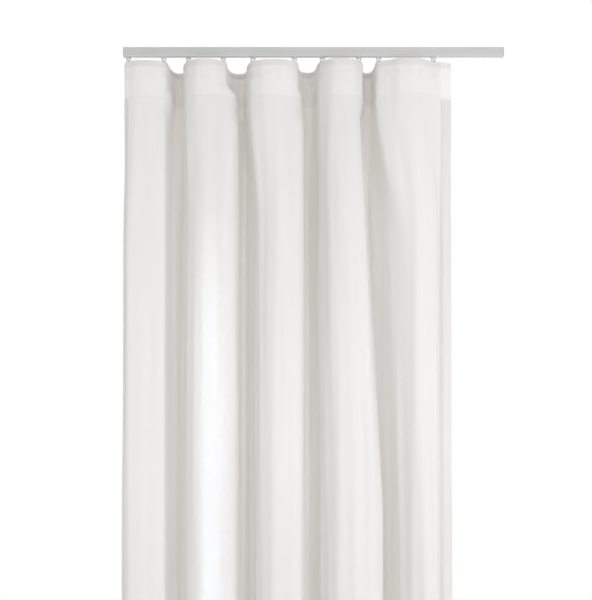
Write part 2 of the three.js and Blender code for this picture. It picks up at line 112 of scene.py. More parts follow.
# The right flank of each of the first four folds at the heading's foot, which opens wider
# towards the room than at the hooks above it.
FOOT_FLANKS = [
    [(-366, -17), (-353, -13), (-339, -6), (-329, 8), (-325, 40)],
    [(-216, -25), (-203, -20), (-189, -12), (-179, 4), (-175, 42)],
    [(-72, -22), (-57, -17), (-42, -10), (-30, 4), (-25, 42)],
    [(86, -28), (96, -22), (106, -10), (113, 10), (117, 46)],
]
FLANK_TOP = -76
FLANK_OPEN = -106
FLANK_SETTLED = -185
POINTS_PER_FOLD = 14
POINTS_IN_LAST_FOLD = 7
FLANK_POINTS = slice(4, 11)
BACK_POINTS_IN_FLANK = 2
LEFT_EDGE = [(-430, 14), (-429.5, 6)]
RIGHT_EDGE = [(292, -3), (303, 2), (313.5, 6)]
CURVE_SAMPLES = 40
# How much shallower or deeper the back folds may be than drawn, and the halvings that find it.
DEEPENING = (0.5, 1.5)
DEEPENING_HALVINGS = 16

# Fine wrinkles: waves across the cloth that swell and fade down it, in millimetres.
RIPPLE_SEED = 7
RIPPLE_COUNT = 46
RIPPLE_WAVES = (22, 70)
RIPPLE_HEIGHTS = (500, 1900)
RIPPLE_LEAN = 0.02
RIPPLE_SIZE = 0.2
RIPPLE_SIZE_WAVE = 30
RIPPLE_GROWTH = 0.8
RIPPLE_START = 50
RIPPLE_FADE = 160

# Layers behind the cloth's front: the turned heading, the tape and the hems.
TURNED_OFFSET = -0.7
TAPE_OFFSET = -1.3
SEWN_DOWN = 0.4
TAPE_ROWS = 20
HEM_ROWS = 12
HEM_EDGES = (2, 1)

# Stitching, and the pockets along the back of the tape. A stitch's rings are shares of the way
# along it, with the share of the thread's radius there.
THREAD_RADIUS = 0.22
THREAD_SIDES = 5
STITCH_RINGS = ((0, 0.5), (0.2, 0.95), (0.8, 0.95), (1, 0.5))
STITCH_LENGTH = 3.2
STITCH_STEP = 4.4
STITCH_MARGIN = 2
SEAM_MARGIN = 2.5
TAPE_STITCHES = (TAPE_TOP - SEAM_MARGIN, TAPE_FOOT + SEAM_MARGIN)
HEM_STITCHES = HEM_TOP - 3
SIDE_STITCHES = SIDE_HEM_WIDTH - 3
# Beside a seam, in metres: gathers this far and this high, and a groove under the stitches.
PUCKER_REACH = 0.008
PUCKER_HEIGHT = 2.2
GROOVE_REACH = 0.0006
GROOVE_DEPTH = 0.6
POCKET_STEP = 25
POCKET_TOP = -57
POCKET_FOOT = -67
POCKET_MIDDLE = (POCKET_TOP + POCKET_FOOT) / 2
POCKET_THICKNESS = 0.45
POCKET_HALF_WIDTH = 1.1
POCKET_DEPTH = 0.1
PRONG_POCKET_HALF_WIDTH = 2.9
POCKET_FEET = (2.8, 1)
POCKET_LIFT = 0.1
POCKET_ARCH_STEPS = 12
POCKET_CLEARANCE = 14
PLACE_STEP = 0.25

# The rail's colour is painted paler below this height, painted light on its underside, which lies in shade;
# its edges and those of its fittings are softened.
RAIL_PAINTED_LIGHT_HEIGHT = -19.9
EDGE_SOFTENING = 0.25
SHARP_EDGE = 40
HARD_SLOTS = ("rail_aluminium", "cap_plastic", "stop_zinc", "screw_steel")

# Hooks and gliders.
WIRE_RADIUS = 0.8
HOOK_APEX = -28.2
HOOK_BEND = 3.6
HOOK_TIP = -34.6
HOOK_FOOT = -70
PRONG_REACH = 2.9
PRONG_TOP = -52
HOOK_BEND_STEPS = 16
LEG_POINTS = 8
PRONG_POINTS = 5
STRAIGHT_MARGIN = 3
WIRE_SIDES = 12
DOME_STEPS = 3
EYE_HEIGHT = -27.6
EYE_RADIUS = 3
PLATE_TOP = -20.3
PLATE_FOOT = -32.8
PLATE_HALF_TOP = 6.3
PLATE_HALF_FOOT = 4.7
PLATE_CORNER_POWER = 9
PLATE_SIDES = 56
# The plate from its eye outwards: the distance from the eye's edge in millimetres, or the share of
# the way to the plate's edge, and half the thickness there.
PLATE_RIM = [(0.0, 0.9), (0.15, 1.3), (0.45, 1.5), (0.9, 1.5), (1.2, 1.3), (1.35, 1.05)]
PLATE_WEB = [(0.8, 1.0), (0.95, 0.95), (0.985, 0.8), (1.0, 0.5)]
# The truck, its shoulders, the neck and the collar: half length, half width, foot, top, rounding.
GLIDER_BLOCKS = [
    (4, 5.4, -18.4, -15.0, 0.8),
    (3.4, 3.4, -15.4, -12.0, 0.9),
    (3, 2.1, -20.9, -17.6, 0.6),
    (5.2, 1.5, -21.9, -20.3, 0.4),
]

# Lights, with places and sizes in metres, power in watts and spread in degrees. The key stands at
# the right, and the fill lights the upper part of the panel from the front.
KEY = dict(
    place=(1.6, -2.3, -1.0), target=(-0.06, 0, -1.0), size=(1.2, 1.6),
    power=30, colour=(0.97, 0.965, 1.0), spread=180,
)
FILL = dict(
    place=(-0.08, -2.7, -0.8), target=(-0.06, 0, -0.8), size=(0.8, 0.3),
    power=0.66, colour=(0.9, 0.95, 1.0), spread=36,
)
# A soft streak of daylight down the second front fold, from tall narrow lights of these tops and
# feet, with the power for each metre of height.
GLOW_X = -0.231
GLOW_Y = -2.4
GLOW_WIDTH = 0.03
GLOW_POWER = 0.025
GLOW_SPREAD = 2
GLOW_COLOUR = (0.75, 0.9, 1.0)
GLOW_SPANS = [(-0.4, -2.2), (-0.5, -1.9), (-0.62, -1.6)]

# Floor, in metres, with the hem's gap above it in millimetres.
FLOOR_HALF_SIZE = 1.9
FLOOR_MIDDLE = (-0.06, 0.4)
FLOOR_GAP = 12
FLOOR_CELLS = 24

scene = bpy.context.scene


def place_camera():
    data = bpy.data.cameras.new("camera")
    data.lens = CAMERA_LENS
    data.sensor_width = CAMERA_SENSOR
    camera = bpy.data.objects.new("camera", data)
    camera.location = Vector(CAMERA_PLACE) * MM
    camera.rotation_euler = (math.radians(90), 0, 0)
    scene.collection.objects.link(camera)
    scene.camera = camera


place_camera()


# ---------------------------------------------------------------- the cloth's line

def glider_name(index):
    return f"{index + 1:02d}"


def glider_place(index):
    low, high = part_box("glider_" + glider_name(index))
    return (low[0] + high[0]) / 2 / MM


GLIDER_PLACES = [glider_place(index) for index in range(len(GLIDER_TURNS))]


def outward(index, turn):
    """The level direction from a glider's line towards the cloth, for a turn in degrees."""
    side = -1 if index % 2 == 0 else 1
    angle = math.radians(turn)
    return np.array([side * math.sin(angle), -math.cos(angle)])


def heading_points(deepen, opened):
    """The points that the cloth passes through at the heading, seen from above."""
    points = list(LEFT_EDGE)

    def open_flank(fold):
        """Moves the newest points, which are a fold's right flank, towards their place at the foot."""
        start = len(points) - len(FOOT_FLANKS[fold])
        for place, (x, y) in enumerate(FOOT_FLANKS[fold]):
            was = points[start + place]
            points[start + place] = (was[0] + opened * (x - was[0]), was[1] + opened * (y - was[1]))

    def hold_at(index):
        off = outward(index, GLIDER_TURNS[index])
        along = HELD_HALF_LENGTH * np.array([-off[1], off[0]])
        middle = np.array([GLIDER_PLACES[index], 0]) + CLOTH_STANDOFF * off
        points.extend([tuple(middle - along), tuple(middle + along)])

    for fold, depth in enumerate(CREST_DEPTHS):
        left = GLIDER_PLACES[2 * fold]
        width = GLIDER_PLACES[2 * fold + 1] - left
        hold_at(2 * fold)
        outline = CREST_OUTLINE if fold < len(VALLEYS) else LAST_CREST_OUTLINE
        points.extend((left + u * width, -v * depth) for u, v in outline)
        hold_at(2 * fold + 1)
        if fold < len(VALLEYS):
            start, end, valley = VALLEYS[fold]
            back = [(start + u * (end - start), v * valley * deepen) for u, v in VALLEY_OUTLINE]
            points.extend(back[:BACK_POINTS_IN_FLANK])
            open_flank(fold)
            points.extend(back[BACK_POINTS_IN_FLANK:])
    return np.array(points + RIGHT_EDGE, float)


def lower_points(drifted, deepen):
    """The matching points below the heading."""
    points = list(LEFT_EDGE)
    deep = LOWER_VALLEY_DEPTH * deepen
    for fold, depth in enumerate(CREST_DEPTHS):
        left, right, drift = LOWER_FOLDS[fold]
        right = right - drift * (1 - drifted)
        if fold == 0:
            start = 2 * left - right
            points.extend((x, -v * depth) for x, v in FIRST_RISE)
            back = depth / 2
        else:
            start, back = bottom, deep
            left_side = LOWER_SLOPE if fold < len(VALLEYS) else LAST_SLOPE
            points.extend(between(start, right, back, depth, left_side))
        crest = LOWER_CREST_OUTLINE if fold < len(VALLEYS) else LAST_LOWER_CREST
        points.extend(between(start, right, back, depth, crest + LOWER_FALL))
        if fold < len(VALLEYS):
            gap = LOWER_FOLDS[fold + 1][0] - right
            points.extend((right + u * gap, v * deep) for u, v in LOWER_WALL)
            bottom = right + LOWER_BOTTOM * gap
    return np.array(points + RIGHT_EDGE, float)


def between(start, end, back, depth, outline):
    """Points part of the way from a back fold's bottom to a front fold's right side and front."""
    return [(start + u * (end - start), back - v * (back + depth)) for u, v in outline]


def smooth_curve(points):
    """A centripetal Catmull-Rom curve through the points, finely sampled."""
    first = 2 * points[0] - points[1]
    last = 2 * points[-1] - points[-2]
    p = np.vstack([first, points, last])
    step = np.sqrt(np.linalg.norm(np.diff(p, axis=0), axis=1))[:, None]
    a, b, c, d = p[:-3], p[1:-2], p[2:-1], p[3:]
    s0, s1, s2 = step[:-2], step[1:-1], step[2:]
    leave = ((b - a) / s0 - (c - a) / (s0 + s1) + (c - b) / s1) * s1
    arrive = ((c - b) / s1 - (d - b) / (s1 + s2) + (d - c) / s2) * s1
    t = (np.arange(CURVE_SAMPLES) / CURVE_SAMPLES)[None, :, None]
    b, c, leave, arrive = (v[:, None, :] for v in (b, c, leave, arrive))
    bend = 3 * (c - b) - 2 * leave - arrive
    twist = 2 * (b - c) + leave + arrive
    curve = b + leave * t + bend * t**2 + twist * t**3
    return np.vstack([curve.reshape(-1, 2), points[-1]])


def smoothstep(value):
    t = np.clip(value, 0, 1)
    return t * t * (3 - 2 * t)


def path_length(curve):
    return float(np.linalg.norm(np.diff(curve, axis=0), axis=1).sum())


def settled_shares(settled, flank_settled):
    """How far each point is from its heading place to its lower one: right flanks get there first."""
    fold = np.full(POINTS_PER_FOLD, settled)
    fold[FLANK_POINTS] = flank_settled
    folds = np.tile(fold, len(VALLEYS))
    left = np.full(len(LEFT_EDGE), settled)
    right = np.full(POINTS_IN_LAST_FOLD + len(RIGHT_EDGE), settled)
    return np.concatenate([left, folds, right])[:, None]


def cloth_curve(z):
    """The cloth's curve at a height, with back folds as deep as the width of cloth makes them."""
    below = max(TAPE_FOOT - z, 0)
    drop = below / (TAPE_FOOT - HEM_FOOT)
    settled = smoothstep(below / (TAPE_FOOT - SETTLED_HEIGHT))
    drifted = min(below / (TAPE_FOOT - DRIFTED_HEIGHT), 1)
    opened = smoothstep((FLANK_TOP - z) / (FLANK_TOP - FLANK_OPEN))
    share = settled_shares(settled, smoothstep(below / (TAPE_FOOT - FLANK_SETTLED)))
    shallow, deep = DEEPENING
    for _ in range(DEEPENING_HALVINGS):
        deepen = (shallow + deep) / 2
        points = heading_points(deepen, opened) * (1 - share) + lower_points(drifted, deepen) * share
        curve = smooth_curve(points)
        if path_length(curve) < PANEL_WIDTH:
            shallow = deepen
        else:
            deep = deepen
    curve[:, 1] -= HEM_LEAN * drop
    return curve


def spaced(curve, count):
    """count + 1 points at equal steps along a curve."""
    steps = np.linalg.norm(np.diff(curve, axis=0), axis=1)
    travelled = np.concatenate([[0], np.cumsum(steps)])
    wanted = np.linspace(0, travelled[-1], count + 1)
    return np.column_stack([np.interp(wanted, travelled, curve[:, axis]) for axis in range(2)])


def row_heights():
    """Heights of the cloth's rows: close together in the heading and the hem."""
    heading = np.arange(HEADING_TOP, TAPE_FOOT - HEADING_MARGIN, -HEADING_ROW_STEP)
    fall = []
    z, step = heading[-1], HEADING_ROW_STEP
    while z - step > HEM_TOP + FALL_ROW_STEP:
        z -= step
        fall.append(z)
        step = min(step * ROW_GROWTH, FALL_ROW_STEP)
    hem = np.linspace(HEM_TOP, HEM_FOOT, 1 + round((HEM_TOP - HEM_FOOT) / HEM_ROW_STEP))
    return np.concatenate([heading, fall, hem])


ROWS = row_heights()
FLAT_COLUMNS = np.linspace(0, PANEL_WIDTH, CLOTH_COLUMNS + 1)


def build_surface():
    """The cloth's middle surface: one row of points for each height, as x, y and z."""
    lines = [spaced(cloth_curve(z), CLOTH_COLUMNS) for z in ROWS]
    surface = np.empty((len(ROWS), CLOTH_COLUMNS + 1, 3))
    surface[:, :, :2] = lines
    surface[:, :, 2] = ROWS[:, None]
    return surface


def front_directions(surface):
    """The level direction out of the cloth's front at every point."""
    along = np.gradient(surface, axis=1)
    front = np.stack([along[..., 1], -along[..., 0]], axis=-1)
    return front / np.linalg.norm(front, axis=-1, keepdims=True)


def ripples(surface):
    """Fine vertical wrinkles, as a distance out of the cloth's front."""
    width = FLAT_COLUMNS[None, :]
    drop = (HEADING_TOP - ROWS)[:, None]
    rng = np.random.default_rng(RIPPLE_SEED)
    total = np.zeros(surface.shape[:2])
    for _ in range(RIPPLE_COUNT):
        wave = rng.uniform(*RIPPLE_WAVES)
        tall = rng.uniform(*RIPPLE_HEIGHTS)
        lean = rng.uniform(-RIPPLE_LEAN, RIPPLE_LEAN)
        phase, place = rng.uniform(0, 2 * math.pi, 2)
        size = RIPPLE_SIZE * (wave / RIPPLE_SIZE_WAVE) ** RIPPLE_GROWTH
        swell = 0.5 + 0.5 * np.sin(2 * math.pi * drop / tall + place)
        total += size * swell * np.sin(2 * math.pi * (width + lean * drop) / wave + phase)
    return total * smoothstep((drop - RIPPLE_START) / RIPPLE_FADE)


SURFACE = build_surface()
FRONT = front_directions(SURFACE)
SURFACE[:, :, :2] += ripples(SURFACE)[..., None] * FRONT
FRONT = front_directions(SURFACE)


# ---------------------------------------------------------------- meshes

def grid_mesh(name, points, across, down):
    """A sheet through a grid of points, with its flat place in metres as UV."""
    rows, columns = points.shape[:2]
    verts = (points * MM).reshape(-1, 3)
    index = np.arange(rows * columns).reshape(rows, columns)
    corners = [index[1:, :-1], index[1:, 1:], index[:-1, 1:], index[:-1, :-1]]
    faces = np.stack(corners, axis=-1).reshape(-1, 4)
    mesh = bpy.data.meshes.new(name)
    mesh.from_pydata(verts.tolist(), [], faces.tolist())
    uv = np.stack(np.broadcast_arrays(across[None, :], down[:, None]), axis=-1).reshape(-1, 2) * MM
    layer = mesh.uv_layers.new(name="flat")
    layer.data.foreach_set("uv", uv[faces.reshape(-1)].reshape(-1))
    mesh.shade_smooth()
    piece = bpy.data.objects.new(name, mesh)
    scene.collection.objects.link(piece)
    return piece


def rows_at(heights, columns=slice(None)):
    """Surface points and front directions interpolated at any heights."""
    order = -np.asarray(heights, float)
    place = np.interp(order, -ROWS, np.arange(len(ROWS)))
    low = np.minimum(place.astype(int), len(ROWS) - 2)
    share = (place - low)[:, None, None]
    points = SURFACE[low][:, columns] * (1 - share) + SURFACE[low + 1][:, columns] * share
    front = FRONT[low][:, columns] * (1 - share) + FRONT[low + 1][:, columns] * share
    points = points.copy()
    points[..., 2] = np.asarray(heights)[:, None]
    return points, front


def offset_rows(heights, offsets, columns=slice(None)):
    """Rows of the surface moved out of its front, by an offset for each row or each point."""
    points, front = rows_at(heights, columns)
    offsets = np.asarray(offsets, float)
    if offsets.ndim == 1:
        offsets = offsets[:, None]
    points[..., :2] += offsets[..., None] * front
    return points


def places_on_cloth(across, heights, offset):
    """Places at distances across the cloth and at heights, moved out of its front by an offset, and
    the directions out of the front there."""
    column = np.clip(np.asarray(across, float) / PANEL_WIDTH * CLOTH_COLUMNS, 0, CLOTH_COLUMNS)
    row = np.interp(-np.asarray(heights, float), -ROWS, np.arange(len(ROWS)))
    c = np.minimum(column.astype(int), CLOTH_COLUMNS - 1)
    r = np.minimum(row.astype(int), len(ROWS) - 2)
    u, v = (column - c)[:, None], (row - r)[:, None]

    def blended(grid):
        above = grid[r, c] * (1 - u) + grid[r, c + 1] * u
        return above * (1 - v) + (grid[r + 1, c] * (1 - u) + grid[r + 1, c + 1] * u) * v

    points, front = blended(SURFACE), blended(FRONT)
    points[:, 2] = heights
    points[:, :2] += offset * front
    return points, np.column_stack([front, np.zeros(len(front))])


def turn_over(edge, offset, steps=6):
    """Heights and offsets round a turned edge, from the back layer to the front one."""
    radius = -offset / 2
    angles = np.linspace(-math.pi / 2, math.pi / 2, steps + 1)[1:-1]
    return edge - radius + radius * np.cos(angles), offset / 2 + radius * np.sin(angles)


def cloth_sheet():
    """The main cloth: up the back of the heading, over its top edge and down to the hem."""
    radius = -TURNED_OFFSET / 2
    back = np.arange(HEADING_TOP - TURN_IN, HEADING_TOP - radius, HEADING_ROW_STEP)
    turn_z, turn_off = turn_over(HEADING_TOP, TURNED_OFFSET)
    front = ROWS[ROWS < HEADING_TOP - radius]
    heights = np.concatenate([back, turn_z, front])
    offsets = np.concatenate([np.full(len(back), TURNED_OFFSET), turn_off, np.zeros(len(front))])
    points = offset_rows(heights, offsets)
    down = np.concatenate([2 * HEADING_TOP - back, np.full(len(turn_z), HEADING_TOP), front])
    piece = grid_mesh("linen_panel", points, FLAT_COLUMNS, down)
    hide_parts("curtain_cloth")
    return piece


def tape_band():
    """The heading tape, sewn down along its top and its foot."""
    heights = np.linspace(TAPE_TOP, TAPE_FOOT, TAPE_ROWS)
    offsets = np.full(len(heights), TAPE_OFFSET)
    offsets[[0, -1]] += SEWN_DOWN
    piece = grid_mesh("heading_tape_band", offset_rows(heights, offsets), FLAT_COLUMNS, heights)
    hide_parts("heading_tape")
    return piece


def bottom_hem():
    """The turned-up hem: sewn down along its top, and turned under the cloth's foot."""
    inner = np.linspace(HEM_TOP - HEM_EDGES[0], HEM_FOOT + HEM_EDGES[1], HEM_ROWS)
    heights = np.concatenate([[HEM_TOP], inner, [HEM_FOOT]])
    offsets = np.full(len(heights), TURNED_OFFSET)
    offsets[0] += SEWN_DOWN
    offsets[-1] = 0
    piece = grid_mesh("bottom_hem_band", offset_rows(heights, offsets), FLAT_COLUMNS, heights)
    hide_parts("bottom_hem")
    return piece


def side_hem(name, node, columns, edge):
    """A turned side hem: edge is its column at the cloth's edge, 0 or -1."""
    across = FLAT_COLUMNS[columns]
    heights = ROWS[(ROWS < TAPE_FOOT) & (ROWS > HEM_TOP)]
    offsets = np.full((len(heights), len(across)), TURNED_OFFSET)
    offsets[:, edge] = 0
    offsets[:, -1 - edge] += SEWN_DOWN
    points = offset_rows(heights, offsets, columns)
    piece = grid_mesh(name, points, across, heights)
    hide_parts(node)
    return piece


def join_rings(bm, rings):
    """Faces between each ring of vertices and the one after it."""
    for low, high in zip(rings, rings[1:]):
        for i, corner in enumerate(low):
            j = (i + 1) % len(low)
            bm.faces.new((corner, low[j], high[j], high[i]))


def stitches(bm, across, heights, step, offset):
    """A row of stitches from the given starts: step is one stitch, as across and height."""
    starts, outs = places_on_cloth(across, heights, offset)
    ends, _ = places_on_cloth(across + step[0], heights + step[1], offset)
    along = ends - starts
    along /= np.linalg.norm(along, axis=1, keepdims=True)
    sides = np.cross(along, outs)
    lift = math.copysign(THREAD_RADIUS / 2, offset)
    turns = [2 * math.pi * i / THREAD_SIDES for i in range(THREAD_SIDES)]
    for start, end, out, side in zip(starts, ends, outs, sides):
        rings = []
        for share, swell in STITCH_RINGS:
            centre = start + share * (end - start) + lift * (2 * swell - 1) * out
            radius = swell * THREAD_RADIUS
            around = [centre + radius * (math.cos(a) * out + math.sin(a) * side) for a in turns]
            rings.append([bm.verts.new(point * MM) for point in around])
        join_rings(bm, rings)
        bm.faces.new(rings[0][::-1])
        bm.faces.new(rings[-1])


def stitching(name, rows):
    """Rows of stitches, each on the cloth's front and on the back of the layer behind it."""
    bm = bmesh.new()
    for across, heights, step, back in rows:
        for offset in (THREAD_RADIUS / 2, back - THREAD_RADIUS / 2):
            stitches(bm, across, heights, step, offset)
    return finished(name, bm)


def level_row(height, back):
    """A row of stitches across the whole panel, for the stitching."""
    across = np.arange(STITCH_MARGIN, PANEL_WIDTH - STITCH_STEP, STITCH_STEP)
    return across, np.full(len(across), height), (STITCH_LENGTH, 0), back


def upright_row(across):
    """A row of stitches down a side hem, for the stitching."""
    heights = np.arange(TAPE_FOOT - 2 * STITCH_MARGIN, HEM_TOP + STITCH_STEP, -STITCH_STEP)
    return np.full(len(heights), across), heights, (0, -STITCH_LENGTH), TURNED_OFFSET


def heading_stitching():
    return stitching("heading_stitching", [level_row(z, TAPE_OFFSET) for z in TAPE_STITCHES])


def hem_stitching():
    sides = [upright_row(SIDE_STITCHES), upright_row(PANEL_WIDTH - SIDE_STITCHES)]
    return stitching("hem_stitching", [level_row(HEM_STITCHES, TURNED_OFFSET)] + sides)


def pocket(bm, across, centre, depth, half_width):
    """A woven tunnel on the back of the tape, at a distance across it: a strip that leaves the tape
    on both sides and runs over an arch with this centre, which is this far behind the tape."""
    outer, inner = (half_width + reach for reach in POCKET_FEET)
    feet = across + np.array([-outer, -inner, inner, outer])
    bases, outs = places_on_cloth(feet, np.full(len(feet), POCKET_MIDDLE), TAPE_OFFSET)
    bases, outs = bases[:, :2], outs[:, :2]
    bases[[1, 2]] -= POCKET_LIFT * outs[[1, 2]]
    front = outs.mean(axis=0) / np.linalg.norm(outs.mean(axis=0))
    along = np.array([-front[1], front[0]])
    angles = np.linspace(0, math.pi, POCKET_ARCH_STEPS + 1)[:, None]
    arch = centre - half_width * (np.cos(angles) * along + np.sin(angles) * front)
    sides = [centre + s * half_width * along + 0.5 * depth * front for s in (-1, 1)]
    path = np.vstack([bases[:2], sides[0], arch, sides[1], bases[2:]])
    run = np.gradient(path, axis=0)
    outwards = np.column_stack([-run[:, 1], run[:, 0]])
    outwards /= np.linalg.norm(outwards, axis=1, keepdims=True)
    near, far = path, path + POCKET_THICKNESS * outwards
    corners = []
    for line, z in ((near, POCKET_TOP), (far, POCKET_TOP), (far, POCKET_FOOT), (near, POCKET_FOOT)):
        corners.append([bm.verts.new((x * MM, y * MM, z * MM)) for x, y in line])
    for side, following in zip(corners, corners[1:] + corners[:1]):
        for i in range(len(path) - 1):
            bm.faces.new((side[i], side[i + 1], following[i + 1], following[i]))
    for end in (0, -1):
        bm.faces.new([side[end] for side in corners])


def tape_pockets():
    """Pockets at regular steps along the tape, with a wider one round each hook's prong."""
    bm = bmesh.new()
    steps = np.arange(0, PANEL_WIDTH, PLACE_STEP)
    places, fronts = places_on_cloth(steps, np.full(len(steps), POCKET_MIDDLE), TAPE_OFFSET)
    places, fronts = places[:, :2], fronts[:, :2]
    taken = []
    for x in GLIDER_PLACES:
        prong = np.array([x, -PRONG_REACH])
        away = np.linalg.norm(places - prong, axis=1)
        nearest = int(np.argmin(away))
        pocket(bm, steps[nearest], prong, float(away[nearest]), PRONG_POCKET_HALF_WIDTH)
        taken.append(steps[nearest])
    for across in np.arange(POCKET_STEP / 2, PANEL_WIDTH, POCKET_STEP):
        if min(abs(across - place) for place in taken) > POCKET_CLEARANCE:
            place = int(across / PLACE_STEP)
            centre = places[place] - POCKET_DEPTH * fronts[place]
            pocket(bm, steps[place], centre, POCKET_DEPTH, POCKET_HALF_WIDTH)
    return finished("tape_pockets", bm)


def tube(name, path, radius):
    """A round wire along a path, with domed ends."""
    path = np.asarray(path, float)
    tangent = np.gradient(path, axis=0)
    tangent /= np.linalg.norm(tangent, axis=1, keepdims=True)
    normal = np.cross(tangent[0], (1, 0, 0))
    angles = np.linspace(0, 2 * math.pi, WIRE_SIDES, endpoint=False)
    dome = np.linspace(0, math.pi / 2, DOME_STEPS + 1)[1:-1]
    start, end = (path[0], tangent[0]), (path[-1], tangent[-1])
    stations = [(start[0] - radius * math.cos(a) * start[1], radius * math.sin(a), start[1]) for a in dome]
    stations += [(place, radius, along) for place, along in zip(path, tangent)]
    stations += [(end[0] + radius * math.cos(a) * end[1], radius * math.sin(a), end[1]) for a in dome[::-1]]
    bm = bmesh.new()
    rings = []
    for centre, size, along in stations:
        normal = normal - along * normal.dot(along)
        normal /= np.linalg.norm(normal)
        side = np.cross(along, normal)
        around = [centre + size * (math.cos(a) * normal + math.sin(a) * side) for a in angles]
        rings.append([bm.verts.new(Vector(point) * MM) for point in around])
    join_rings(bm, rings)
    bm.faces.new(rings[0][::-1])
    bm.faces.new(rings[-1])
    return finished(name, bm)


def finished(name, bm):
    bmesh.ops.recalc_face_normals(bm, faces=bm.faces)
    mesh = bpy.data.meshes.new(name)
    bm.to_mesh(mesh)
    bm.free()
    mesh.shade_smooth()
    piece = bpy.data.objects.new(name, mesh)
    scene.collection.objects.link(piece)
    return piece


def arc(centre, radius, start, end, steps):
    angles = np.radians(np.linspace(start, end, steps + 1))
    return [(centre[0] + radius * math.cos(a), centre[1] + radius * math.sin(a)) for a in angles]


def hook_path():
    """The wire's centreline in its own plane: distance towards the room, and height."""
    bend_height = HOOK_APEX - HOOK_BEND
    foot_bend = (HOOK_BEND + PRONG_REACH) / 2
    foot_middle = PRONG_REACH - foot_bend
    path = [(HOOK_BEND, HOOK_TIP), (HOOK_BEND, (HOOK_TIP + bend_height) / 2)]
    leg_top, leg_foot = bend_height - STRAIGHT_MARGIN, HOOK_FOOT + STRAIGHT_MARGIN
    path += arc((0, bend_height), HOOK_BEND, 0, 180, HOOK_BEND_STEPS)
    path += [(-HOOK_BEND, z) for z in np.linspace(leg_top, leg_foot, LEG_POINTS)]
    path += arc((foot_middle, HOOK_FOOT), foot_bend, 180, 360, HOOK_BEND_STEPS)
    path += [(PRONG_REACH, z) for z in np.linspace(leg_foot, PRONG_TOP, PRONG_POINTS)]
    return path


def hook(index):
    """A hook square to the rail, so that the folds can close on both sides of it."""
    path = [(GLIDER_PLACES[index], -towards, z) for towards, z in hook_path()]
    name = "hook_" + glider_name(index)
    piece = tube(name + "_wire", path, WIRE_RADIUS)
    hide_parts(name)
    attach(piece, name)
    piece.data.materials.append(MATERIALS["hook_steel"])


def rounded_block(bm, low, high, radius):
    """A block between two corners with all its edges rounded."""
    made = bmesh.ops.create_cube(bm, size=1)["verts"]
    for v in made:
        v.co = Vector([low[k] + (v.co[k] + 0.5) * (high[k] - low[k]) for k in range(3)]) * MM
    edges = list({e for v in made for e in v.link_edges})
    bmesh.ops.bevel(bm, geom=edges, offset=radius * MM, segments=3, profile=0.5, affect="EDGES")


def plate_edge(dx, dz):
    """How far the tapered plate's rounded edge is from the eye's middle, in a direction."""
    top, foot = PLATE_TOP - EYE_HEIGHT, EYE_HEIGHT - PLATE_FOOT
    slope = math.hypot(top + foot, PLATE_HALF_TOP - PLATE_HALF_FOOT)
    side = ((top + foot) / slope, (PLATE_HALF_FOOT - PLATE_HALF_TOP) / slope)
    reach = PLATE_HALF_TOP * side[0] + top * side[1]
    planes = [(*side, reach), (-side[0], side[1], reach), (0, 1, top), (0, -1, foot)]
    total = sum(max(0, (nx * dx + nz * dz) / away) ** PLATE_CORNER_POWER for nx, nz, away in planes)
    return total ** (-1 / PLATE_CORNER_POWER)


def eye_plate(bm, x):
    """The tapered plate with a raised rim round its eye, as rings from the eye outwards."""
    turns = [2 * math.pi * i / PLATE_SIDES for i in range(PLATE_SIDES)]
    directions = [(math.cos(a), math.sin(a), plate_edge(math.cos(a), math.sin(a))) for a in turns]
    front = [([EYE_RADIUS + distance for _ in directions], thick) for distance, thick in PLATE_RIM]
    for share, thick in PLATE_WEB:
        front.append(([EYE_RADIUS + share * (edge - EYE_RADIUS) for _, _, edge in directions], thick))
    rings = []
    for side, section in ((-1, front), (1, front[::-1])):
        for reaches, thick in section:
            ring = []
            for (dx, dz, edge), reach in zip(directions, reaches):
                r = min(reach, edge)
                ring.append(bm.verts.new(Vector((x + r * dx, side * thick, EYE_HEIGHT + r * dz)) * MM))
            rings.append(ring)
    join_rings(bm, rings + rings[:1])


def glider(index):
    """A glider's truck, shoulders, neck and collar with its eye plate below them."""
    x = GLIDER_PLACES[index]
    bm = bmesh.new()
    for length, width, foot, top, rounding in GLIDER_BLOCKS:
        rounded_block(bm, (x - length, -width, foot), (x + length, width, top), rounding)
    eye_plate(bm, x)
    name = "glider_" + glider_name(index)
    piece = finished(name + "_moulding", bm)
    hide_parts(name)
    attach(piece, "track" if index == 0 else name)
    piece.data.materials.append(MATERIALS["glider_nylon"])


# ---------------------------------------------------------------- materials

MIX_COLOUR, MIX_OTHER, MIX_RESULT = 6, 7, 2


